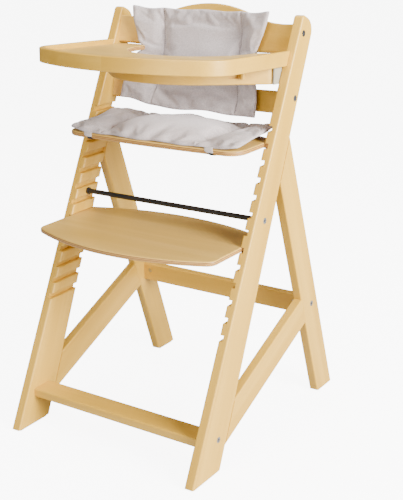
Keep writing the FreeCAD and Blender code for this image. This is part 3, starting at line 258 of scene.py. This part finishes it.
# %% Dress the fittings
def skin(name, chart, rough, grit, depth, metallic=0.0):
    """A coated, plated or moulded surface with unevenness of one size, in metres."""
    material, tree, surface = finish(name, Metallic=metallic)
    here = add(tree, "TexCoord", out="Object")
    fine = add(tree, "TexNoise", {"Vector": here, "Scale": 1 / grit, "Detail": 2.0})
    broad = add(tree, "TexNoise", {"Vector": here, "Scale": 25.0, "Detail": 2.0})
    tint = lay_over(tree, broad, 0.3, 0.8, 0.25, colour(chart), colour("#4A4744"))
    dull = add(tree, "MapRange", {0: fine, 1: 0.3, 2: 0.7, 3: rough - 0.07, 4: rough + 0.07})
    relief = add(tree, "Bump", {"Height": fine, "Strength": 0.4, "Distance": depth})
    tree.links.new(tint, surface.inputs["Base Color"])
    tree.links.new(dull, surface.inputs["Roughness"])
    tree.links.new(relief, surface.inputs["Normal"])
    return material


black_steel = skin("powder-coated steel", "#0E0E0E", 0.38, 0.6 * MM, 0.04 * MM)
black_nylon = skin("moulded black nylon", "#151515", 0.50, 0.8 * MM, 0.04 * MM)
grey_nylon = skin("moulded grey nylon", "#A39C86", 0.50, 0.8 * MM, 0.04 * MM)
zinc = skin("zinc-plated steel", "#B4B4B6", 0.30, 0.4 * MM, 0.02 * MM, 1.0)
felt = skin("pressed felt", "#3A3734", 0.95, 1.0 * MM, 0.3 * MM)
for node, material in {
        "tie_rod": black_steel, "tie_rod_collars": black_nylon, "tie_rod_bolts": zinc,
        "frame_bolts": zinc, "barrel_nuts": zinc, "rail_screws": zinc,
        "left_rail_bracket": grey_nylon, "right_rail_bracket": grey_nylon,
        "floor_glides": felt}.items():
    dress(node, material)
for shift, (pins, along) in enumerate({"frame_dowels": Y, "crossbar_dowels": X,
                                       "tray_pegs": Z}.items()):
    dress(pins, beech("turned beech, " + pins.replace("_", " "), along,
                      X if along is Y else Y, 51 + shift))
print("fittings dressed")

# %% [markdown]
# ## Cotton
# The covers are plain-woven cotton in a warm pale grey.  Real threads are about 0.4 mm apart,
# which is too fine to show, so the weave is drawn at 1.1 mm.  Slubs, the thicker places in a yarn,
# give it its dry, uneven look.  A low sheen stands for the fibres that catch the light.

# %% Woven cotton
THREAD = 1.1 * MM


def cotton(name, light, dark):
    material, tree, surface = finish(name, Roughness=0.9, Sheen_Weight=0.2,
                                     Sheen_Roughness=0.5, Specular_IOR_Level=0.2)
    here = add(tree, "TexCoord", out="Object")
    waves = []
    for axis in ("X", "Y", "Z"):
        turns = add(tree, "Math", {0: add(tree, "SeparateXYZ", {0: here}, axis),
                                   1: 2 * math.pi / THREAD}, operation="MULTIPLY")
        waves.append(add(tree, "Math", {0: turns}, operation="SINE"))
    weft = add(tree, "Math", {0: waves[1], 1: waves[2]}, operation="ADD")
    weave = add(tree, "Math", {0: waves[0], 1: weft}, operation="MULTIPLY")
    slubs = add(tree, "TexNoise", {"Vector": here, "Scale": 0.5 / THREAD, "Detail": 2.0})
    cloud = add(tree, "TexNoise", {"Vector": here, "Scale": 16.0, "Detail": 3.0})
    cloth = add(tree, "Math", {0: weave, 1: 0.12, 2: slubs}, operation="MULTIPLY_ADD")
    tint = lay_over(tree, cloth, 0.25, 0.8, 1.0, dark, light)
    tint = lay_over(tree, cloud, 0.40, 0.75, 0.3, tint, dark)
    relief = add(tree, "Bump", {"Height": cloth, "Strength": 0.5, "Distance": 0.3 * MM})
    tree.links.new(tint, surface.inputs["Base Color"])
    tree.links.new(relief, surface.inputs["Normal"])
    return material


cover_cloth = cotton("plain-woven grey cotton", colour("#C9BFBD"), colour("#A59A98"))
strap_cloth = cotton("folded grey cotton tape", colour("#CFC7C3"), colour("#ADA29E"))
elastic = skin("black woven elastic", "#1B1A1A", 0.85, 1.2 * MM, 0.3 * MM)
# Dark grey stitching: real, and darker than the cloth so that it also paints the shade in each seam's
# fold.
thread_and_seam_shade = skin("grey sewing thread", "#5C5351", 0.8, 0.5 * MM, 0.1 * MM)
print("cloth:", cover_cloth.name)

# %% [markdown]
# ## A quilted pad
# Each cushion is two sheets of cloth sewn together round a rim and along two seams, with wadding
# between.  The pad is laid out flat: `across` and `up` are metres on the cloth, `out` is its
# thickness.  Cloth simulation then blows it up: the rim and the seams are pinned as stitches would
# hold them, pressure stands for the wadding, and a little spare cloth makes the puckers that real
# quilting has.  How far a point may swell is capped, and the side that rests on the chair is
# pressed flat.  Only then is the pad bent onto the chair.

# %% Lay out a flat pad
ROWS = 52
SEAM_SHARE = 0.6          # the seams lie at this share of the half-width each side
HEM = 4.0 * MM            # height of the sewn rim
SEAM_DEPTH = 1.4 * MM     # thickness left where a seam pulls both sheets together
FLAT_UNDER = 0.3 * MM     # how far above the chair the pressed underside lies


def soft_step(value):
    value = np.clip(value, 0, 1)
    return value * value * (3 - 2 * value)


def column_shares():
    """Places of the columns from -1 to 1, crowded beside the seams so that they fold sharply."""
    crowd = np.array((0, 0.012, 0.028))
    half = np.concatenate([np.linspace(0, SEAM_SHARE - 0.05, 20), SEAM_SHARE - crowd[:0:-1],
                           SEAM_SHARE + crowd, np.linspace(SEAM_SHARE + 0.05, 1, 15)])
    return np.concatenate([-half[:0:-1], half])


COLUMNS = len(column_shares()) - 1


def flat_pad(half, seam, low, high, loft, rim_lift, skew=lambda v: 0 * v):
    """Corners, faces and pinned points of two sheets joined round their rim."""
    u, v = np.meshgrid(column_shares(), np.linspace(0, 1, ROWS + 1))
    side = np.abs(u)
    inner = side / SEAM_SHARE * seam(v)
    edge = half(v) - np.sign(u) * skew(v)
    outer = seam(v) + (side - SEAM_SHARE) / (1 - SEAM_SHARE) * (edge - seam(v))
    across = np.sign(u) * np.where(side < SEAM_SHARE, inner, outer)
    up = low(across) + v * (high(across) - low(across))
    rim = (side > 0.999) | (v < 0.001) | (v > 0.999)
    sewn = np.abs(side - SEAM_SHARE) < 0.001
    puff = np.minimum(np.minimum(1 - side, np.abs(side - SEAM_SHARE)) * 7,
                      np.minimum(v, 1 - v) * 6)
    near_rim = 1 - soft_step(np.minimum((1 - side) * 3, np.minimum(v, 1 - v) * 6))
    lift = rim_lift(across, up) * near_rim
    out = np.where(rim, HEM, SEAM_DEPTH + loft * np.clip(puff, 0, 1) ** 0.33)
    top = np.stack([across, up, out + lift], -1).reshape(-1, 3)
    under = np.stack([across, up, lift], -1).reshape(-1, 3)
    index = np.arange((COLUMNS + 1) * (ROWS + 1)).reshape(ROWS + 1, COLUMNS + 1)
    a, b, c, d = index[:-1, :-1], index[:-1, 1:], index[1:, 1:], index[1:, :-1]
    sheet = np.stack([a, b, c, d], -1).reshape(-1, 4)
    loop = np.concatenate([index[0, :-1], index[:-1, -1], index[-1, :0:-1], index[:0:-1, 0]])
    ahead, count = np.roll(loop, -1), index.size
    band = np.stack([loop + count, ahead + count, ahead, loop], -1)
    faces = np.concatenate([sheet, sheet[:, ::-1] + count, band])
    return np.concatenate([top, under]), faces, np.tile((rim | sewn).reshape(-1), 2)


# %% Blow it up
FRAMES = 20


def blow_up(points, faces, pinned, cap, spare):
    """Cloth simulation of a closed pad; gives back its swollen points."""
    mesh = bpy.data.meshes.new("pad_pattern")
    mesh.from_pydata(points.tolist(), [], faces.tolist())
    pattern = bpy.data.objects.new("pad_pattern", mesh)
    scene.collection.objects.link(pattern)
    held = pattern.vertex_groups.new(name="stitches")
    held.add(np.flatnonzero(pinned).tolist(), 1.0, "REPLACE")
    cloth = pattern.modifiers.new("wadding", "CLOTH")
    cloth.settings.vertex_group_mass = "stitches"
    cloth.settings.use_pressure = True
    cloth.settings.uniform_pressure_force = 4.0
    cloth.settings.shrink_min = -spare
    cloth.settings.shrink_max = -spare
    cloth.settings.tension_stiffness = 12
    cloth.settings.bending_stiffness = 0.3
    cloth.settings.effector_weights.gravity = 0
    cloth.collision_settings.use_self_collision = False
    cloth.point_cache.frame_start, cloth.point_cache.frame_end = 1, FRAMES
    for step in range(1, FRAMES + 1):
        scene.frame_set(step)
    swollen = pattern.evaluated_get(bpy.context.evaluated_depsgraph_get()).data
    after = np.empty(len(points) * 3)
    swollen.vertices.foreach_get("co", after)
    after = after.reshape(-1, 3)
    bpy.data.objects.remove(pattern)
    bpy.data.meshes.remove(mesh)
    scene.frame_set(1)
    moved = after - points
    far = np.linalg.norm(moved, axis=1)
    moved *= (cap * np.tanh(far / cap) / np.maximum(far, 1e-9))[:, None]
    return points + moved


def pad(name, shape, cap, spare, bend):
    """A finished cushion: laid out, blown up, pressed flat below, and bent into place."""
    points, faces, pinned = flat_pad(**shape)
    points = blow_up(points, faces, pinned, cap, spare)
    points[:, 2] = np.maximum(points[:, 2], FLAT_UNDER)
    placed = bend(points)
    mesh = bpy.data.meshes.new(name)
    mesh.from_pydata(placed.tolist(), [], faces.tolist())
    mesh.shade_smooth()
    mesh.materials.append(cover_cloth)
    piece = bpy.data.objects.new(name, mesh)
    scene.collection.objects.link(piece)
    smooth = piece.modifiers.new("soft cloth", "SUBSURF")
    smooth.levels = smooth.render_levels = 1
    print(name, len(faces), "faces, pinned", int(pinned.sum()), "points")
    return piece, placed


# %% [markdown]
# ## Seat cushion
# It covers the seat plate, ends a little behind the plate's front edge, and its side panels curl
# up where they squeeze in between the posts.

# %% The seat cushion
plate_low, plate_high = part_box("seat_plate")
SEAT_TOP = plate_high[2]
SEAT_BOW = 2.6                       # radius of the seat's front edge
seat_front = plate_low[1] + 5 * MM
SEAT_HALF, SEAT_REAR = 197 * MM, 104 * MM


def seat_low(across):
    wave = 1.5 * MM * np.sin(across / 19 / MM) + 1.0 * MM * np.sin(across / 7.3 / MM + 1)
    corner = 6 * MM * soft_step((np.abs(across) / SEAT_HALF - 0.94) / 0.06) ** 2
    return seat_front + across ** 2 / (2 * SEAT_BOW) + wave + corner


def seat_high(across):
    wave = 2.5 * MM * np.cos(across / 24 / MM + 0.8)
    dip = 4 * MM * np.exp(-((np.abs(across) - 122 * MM) / (12 * MM)) ** 2)
    corner = 30 * MM * soft_step((np.abs(across) / SEAT_HALF - 0.78) / 0.22) ** 2
    return SEAT_REAR - across ** 2 / 1.1 * 0.4 + wave - dip - corner


def onto_seat(points):
    across, up, out = points.T
    wing = soft_step((np.abs(across) - 150 * MM) / (50 * MM))
    rear = soft_step((up + 0.07) / 0.10)
    curl = (5 + np.where(across > 0, 8, 4) * rear) * MM * wing
    ripple = 1.2 * MM * np.sin(across / 15 / MM) * soft_step((-0.045 - up) / 0.03)
    height = SEAT_TOP + out + curl + np.maximum(ripple, 0)
    return np.stack([across * (1 - 0.01 * wing), up, height], -1)


seat_shape = {
    "half": lambda v: SEAT_HALF - 4 * MM * np.sin(np.pi * v),
    "seam": lambda v: (110 + 8 * v) * MM,
    "low": seat_low, "high": seat_high, "loft": 10 * MM,
    "rim_lift": lambda across, up: 8 * MM * soft_step(up / 0.08)}
seat_cushion, seat_points = pad("seat_cushion_cover", seat_shape, cap=16 * MM, spare=0.05,
                                bend=onto_seat)
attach(seat_cushion, "seat")
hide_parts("seat_cushion")

# %% [markdown]
# ## Back cushion
# It hangs in front of the two backrest boards, a little straighter than they are bowed.  It is
# narrow between the tray's arms and widens to four pointed corners.

# %% The back cushion
RECLINE = math.radians(14.5)
lean_up = np.array((0, math.sin(RECLINE), math.cos(RECLINE)))
lean_out = np.array((0, -math.cos(RECLINE), math.sin(RECLINE)))
BOARD_START = np.array((0, 76.0, 623.5)) * MM
BOARD_BOW, BOARD_HALF = 28 * MM, 200.5 * MM
board_radius = (BOARD_HALF ** 2 + BOARD_BOW ** 2) / (2 * BOARD_BOW)
BACK_HALF, BACK_WAIST = 161 * MM, 138 * MM
BACK_ASIDE = -4 * MM                 # the cushion has slipped a little to the left
TRAY_LEVEL = 100 * MM                # where the tray's arms pass, up along the boards


def back_half(v):
    up = (-7 + 193 * v) * MM
    pinch = np.exp(-((up - TRAY_LEVEL) / (52 * MM)) ** 2)
    nip = np.exp(-((up - TRAY_LEVEL - 3 * MM) / (8.5 * MM)) ** 4)
    return BACK_HALF - (BACK_HALF - BACK_WAIST) * pinch - 11 * MM * nip


def back_low(across):
    side = np.abs(across) / BACK_HALF
    wave = 2 * MM * np.sin(across / 21 / MM + 0.4)
    corner = np.where(across < 0, 13, -4) * MM * soft_step((side - 0.62) / 0.38)
    return -12 * MM + wave + corner


def back_high(across):
    side = np.abs(across) / BACK_HALF
    wave = 1.2 * MM * np.sin(across / 17 / MM + 1.4)
    return 184 * MM + wave + 3 * MM * soft_step((side - 0.82) / 0.18) - 3 * MM * soft_step(
        1 - np.abs(side - 0.72) / 0.2)


def onto_boards(points):
    across, up, out = points.T
    set_back = BOARD_BOW - (board_radius - np.sqrt(board_radius ** 2 - across ** 2))
    lean = 7 * MM * soft_step((up - 0.11) / 0.08)
    ahead = out - 0.80 * set_back + lean + 0.4 * MM
    return (BOARD_START + (across + BACK_ASIDE)[:, None] * np.array((1, 0, 0)) + up[:, None] * lean_up
            + ahead[:, None] * lean_out)


back_shape = {
    "half": back_half,
    "seam": lambda v: (100 - 10 * soft_step(v * 2)) * MM,
    "skew": lambda v: (2 + 9 * (1 - v)) * MM,
    "low": back_low, "high": back_high, "loft": 9 * MM,
    "rim_lift": lambda across, up: 9 * MM * np.ones_like(across)}
back_cushion, back_points = pad("back_cushion_cover", back_shape, cap=13 * MM, spare=0.04,
                                bend=onto_boards)
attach(back_cushion, "frame")
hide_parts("back_cushion")

# %% [markdown]
# ## Seams
# A line of lockstitch runs along every seam: short threads about 4 mm long with a gap between
# them.  Each stitch is a small spindle laid between two points of the seam, so it follows the
# swollen cloth.  The stitching is dark grey, darker than the cloth, so it also paints the shade
# that falls in the fold along each seam.

# %% Stitches along the seams
STITCH, THREAD_THICK = 4 * MM, 0.9 * MM


def spindle(start, end, thick):
    """Corners and faces of a six-sided spindle from one point to another."""
    along = (end - start).normalized()
    sideways = along.orthogonal().normalized()
    over = along.cross(sideways)
    ring = [math.cos(k * math.pi / 3) * sideways + math.sin(k * math.pi / 3) * over
            for k in range(6)]
    corners = [start] + [start.lerp(end, share) + thick * direction
                         for share in (0.25, 0.75) for direction in ring] + [end]
    faces = [(0, 1 + (k + 1) % 6, 1 + k) for k in range(6)]
    faces += [(1 + k, 1 + (k + 1) % 6, 7 + (k + 1) % 6, 7 + k) for k in range(6)]
    return corners, faces + [(13, 7 + k, 7 + (k + 1) % 6) for k in range(6)]


def stitches(name, points, lift, body):
    """Stitches on the top sheet of a pad, along both its seams; their dark grey is also painted shade
    of the seam's fold.
    """
    corners, faces = [], []
    sheet = points[:(COLUMNS + 1) * (ROWS + 1)].reshape(ROWS + 1, COLUMNS + 1, 3)
    for sign in (-1, 1):
        column = int(np.argmin(np.abs(column_shares() - sign * SEAM_SHARE)))
        line = sheet[1:-1, column] + np.array(lift) * THREAD_THICK
        steps = np.linalg.norm(np.diff(line, axis=0), axis=1)
        run = np.concatenate([[0], np.cumsum(steps)])
        for start in np.arange(STITCH / 2, run[-1] - STITCH, STITCH):
            ends = [Vector([np.interp(place, run, line[:, axis]) for axis in range(3)])
                    for place in (start, start + 0.85 * STITCH)]
            some, more = spindle(*ends, THREAD_THICK)
            faces += [tuple(len(corners) + corner for corner in face) for face in more]
            corners += some
    mesh = bpy.data.meshes.new(name)
    mesh.from_pydata([tuple(corner) for corner in corners], [], faces)
    mesh.shade_smooth()
    # Dark grey stitching, which also paints the shade in the seam's fold.
    mesh.materials.append(thread_and_seam_shade)
    piece = bpy.data.objects.new(name, mesh)
    scene.collection.objects.link(piece)
    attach(piece, body)
    print(name, len(corners) // 14, "stitches")
    return piece


stitches("seat_cushion_stitches", seat_points, (0, 0, 1), "seat")
stitches("back_cushion_stitches", back_points, lean_out, "frame")

# %% [markdown]
# ## Straps
# Folded cotton tapes hold the cushions: two go round the front edge of the seat plate and two over
# the upper backrest board.  A tape is a flat band with round edges that follows a line of points;
# its far end is a black elastic loop.

# %% A tape along a line
def tape(name, line, wide, thick, material, body):
    """A flat band, its width along X, that follows points in (X, Y, Z)."""
    line = [Vector(point) for point in line]
    profile = [(-0.5, 0), (-0.44, 0.5), (0, 0.62), (0.44, 0.5),
               (0.5, 0), (0.44, -0.5), (0, -0.5), (-0.44, -0.5)]
    corners, faces = [], []
    for index, point in enumerate(line):
        ahead = line[min(index + 1, len(line) - 1)] - line[max(index - 1, 0)]
        out = X.cross(ahead).normalized()
        corners += [point + X * (across * wide) + out * (up * thick) for across, up in profile]
    count = len(profile)
    for index in range(len(line) - 1):
        faces += [(index * count + k, index * count + (k + 1) % count,
                   (index + 1) * count + (k + 1) % count, (index + 1) * count + k)
                  for k in range(count)]
    faces.append(tuple(range(count))[::-1])
    faces.append(tuple(range(len(corners) - count, len(corners))))
    mesh = bpy.data.meshes.new(name)
    mesh.from_pydata([tuple(corner) for corner in corners], [], faces)
    mesh.shade_smooth()
    mesh.materials.append(material)
    piece = bpy.data.objects.new(name, mesh)
    scene.collection.objects.link(piece)
    smooth = piece.modifiers.new("soft edges", "SUBSURF")
    smooth.levels = smooth.render_levels = 2
    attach(piece, body)
    return piece


# %% The seat cushion's straps
STRAP_X, STRAP_WIDE, STRAP_THICK = 140 * MM, 19 * MM, 1.6 * MM
ELASTIC_WIDE = 12 * MM
SEAT_UNDER = plate_low[2]
strap_front = plate_low[1] + STRAP_X ** 2 / (2 * SEAT_BOW)
gap = 1.2 * MM
for side, sign in (("left", -1), ("right", 1)):
    x = sign * STRAP_X
    over = [(x - 7 * MM, strap_front + 22 * MM, SEAT_TOP + 4 * MM),
            (x - 6 * MM, strap_front + 12 * MM, SEAT_TOP + 3 * MM),
            (x - 3 * MM, strap_front + 4 * MM, SEAT_TOP + gap + 0.6 * MM),
            (x, strap_front - gap, SEAT_TOP - 1.5 * MM),
            (x + 4 * MM, strap_front - gap - 0.8 * MM, SEAT_UNDER + 3.5 * MM)]
    under = [(x + 3.5 * MM, strap_front - gap - 0.5 * MM, SEAT_UNDER + 5 * MM),
             (x + 6 * MM, strap_front - gap - 0.5 * MM, SEAT_UNDER + 1 * MM)]
    under += [(x + 7 * MM, strap_front + y * MM, SEAT_UNDER - gap) for y in (3, 20, 35, 50, 62)]
    top = tape(side + "_seat_strap", over, STRAP_WIDE, STRAP_THICK, strap_cloth, "seat")
    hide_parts("seat_cushion_straps")
    tape(side + "_seat_elastic", under, ELASTIC_WIDE, 1.4 * MM, elastic, "seat")
print("seat straps at X", round(STRAP_X, 3))

# %% The back cushion's straps
BACK_STRAP_X, BACK_STRAP_WIDE = 108 * MM, 17 * MM
UPPER_LOW = 111.6 * MM      # the upper board's bottom, above the lower board's
BOARD_THICK = 14 * MM


def on_board(across, up, behind):
    """A point by its place on the boards: behind is measured from their front face."""
    set_back = BOARD_BOW - (board_radius - math.sqrt(board_radius ** 2 - across ** 2))
    return tuple(BOARD_START + np.array((across, 0, 0)) + up * lean_up
                 - (set_back + behind) * lean_out)


def board_top(across):
    """How far up the boards the upper board's crest is at this distance from the middle."""
    tops = [vertex.co for vertex in nodes["upper_backrest_board"].data.vertices
            if abs(abs(vertex.co.x) - across) < 12 * MM]
    return max(float((np.array(top) - BOARD_START) @ lean_up) for top in tops)


crest = board_top(BACK_STRAP_X)
for side, sign in (("left", -1), ("right", 1)):
    x = sign * BACK_STRAP_X
    behind = BOARD_THICK + 1.3 * MM
    path = [(crest - 6 * MM, -2.2 * MM), (crest + 1.6 * MM, -1.2 * MM),
            (crest + 2.6 * MM, 3 * MM), (crest + 2.4 * MM, 10 * MM),
            (crest - 2 * MM, behind + 0.4 * MM), (crest - 14 * MM, behind),
            (UPPER_LOW + 18 * MM, behind)]
    loop = [(UPPER_LOW + 20 * MM, behind), (UPPER_LOW + 6 * MM, behind),
            (UPPER_LOW - 1.6 * MM, behind - 2.6 * MM), (UPPER_LOW - 1.8 * MM, 4 * MM),
            (UPPER_LOW - 1.0 * MM, -1.2 * MM), (UPPER_LOW + 7 * MM, -1.6 * MM)]
    top = tape(side + "_back_strap", [on_board(x, *point) for point in path],
               BACK_STRAP_WIDE, STRAP_THICK, strap_cloth, "frame")
    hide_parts("back_cushion_straps")
    tape(side + "_back_elastic", [on_board(x, *point) for point in loop],
         ELASTIC_WIDE, 1.3 * MM, elastic, "frame")
print("back straps over the board's crest at", round(crest, 3))

# %% [markdown]
# ## Studio
# A white paper floor, a little light from everywhere, and one strong lamp on the +X side, which
# leaves the outer faces on that side bright and the faces turned away golden.  The paper's glow
# is seen by the camera alone, so it adds no light to the wood from below.

# %% Floor
PAPER_GLOW = 8.0      # seen by the camera only
bpy.ops.mesh.primitive_plane_add(size=60, location=(0, 0, 0))
floor = bpy.context.object
floor.name = "studio_floor"
paper, tree, surface = finish("white studio paper", Roughness=0.9, Specular_IOR_Level=0.1,
                              Emission_Color=(1, 1, 1, 1))
tooth = add(tree, "TexNoise", {"Vector": add(tree, "TexCoord", out="Object"), "Scale": 350.0})
white = lay_over(tree, tooth, 0.3, 0.7, 1.0, colour("#BDBDBD"), colour("#C4C4C4"))
seen = add(tree, "LightPath", out="Is Camera Ray")
glow = add(tree, "Math", {0: seen, 1: PAPER_GLOW}, operation="MULTIPLY")
tree.links.new(white, surface.inputs["Base Color"])
tree.links.new(glow, surface.inputs["Emission Strength"])
floor.data.materials.append(paper)

# %% Sky and lamps
SKY_LIGHT = 0.14      # low, so that shaded faces keep their colour
world = bpy.data.worlds.new("soft white studio")
scene.world = world
world.use_nodes = True
world.node_tree.nodes["Background"].inputs["Color"].default_value = (1, 1, 1, 1)
world.node_tree.nodes["Background"].inputs["Strength"].default_value = SKY_LIGHT


def soft_lamp(name, place, aim, power, size):
    light = bpy.data.lights.new(name, "AREA")
    light.energy, light.size = power, size
    lamp = bpy.data.objects.new(name, light)
    scene.collection.objects.link(lamp)
    lamp.location = place
    lamp.rotation_euler = (Vector(aim) - Vector(place)).to_track_quat("-Z", "Y").to_euler()


soft_lamp("side softbox", place=(3.0, -0.4, 1.5), aim=(0, 0, 0.45), power=400, size=1.6)
soft_lamp("front softbox", place=(0.4, -3.0, 1.6), aim=(0, 0, 0.4), power=75, size=1.6)
soft_lamp("top softbox", place=(-0.2, 0.2, 3.0), aim=(0, 0, 0.3), power=80, size=1.4)

# %% [markdown]
# ## Camera
# A long lens about two metres away, looking down a little from the +X side of the chair's front,
# and rolled by a degree.

# %% Camera
CAMERA_PLACE = (1.1465, -1.592, 1.0023)
turn, dip, roll = math.radians(34.15), math.radians(18.62), math.radians(-1.09)
ahead = Vector((-math.sin(turn) * math.cos(dip), math.cos(turn) * math.cos(dip), -math.sin(dip)))
level = Vector((math.cos(turn), math.sin(turn), 0))
above = level.cross(ahead)
right = level * math.cos(roll) + above * math.sin(roll)
head = above * math.cos(roll) - level * math.sin(roll)
lens = bpy.data.cameras.new("long lens")
lens.lens, lens.sensor_width = 74.6, 36
camera = bpy.data.objects.new("camera", lens)
scene.collection.objects.link(camera)
camera.matrix_world = Matrix.Translation(CAMERA_PLACE) @ Matrix(
    (right, head, -ahead)).transposed().to_4x4()
scene.camera = camera
print("camera at", tuple(round(part, 3) for part in camera.location))
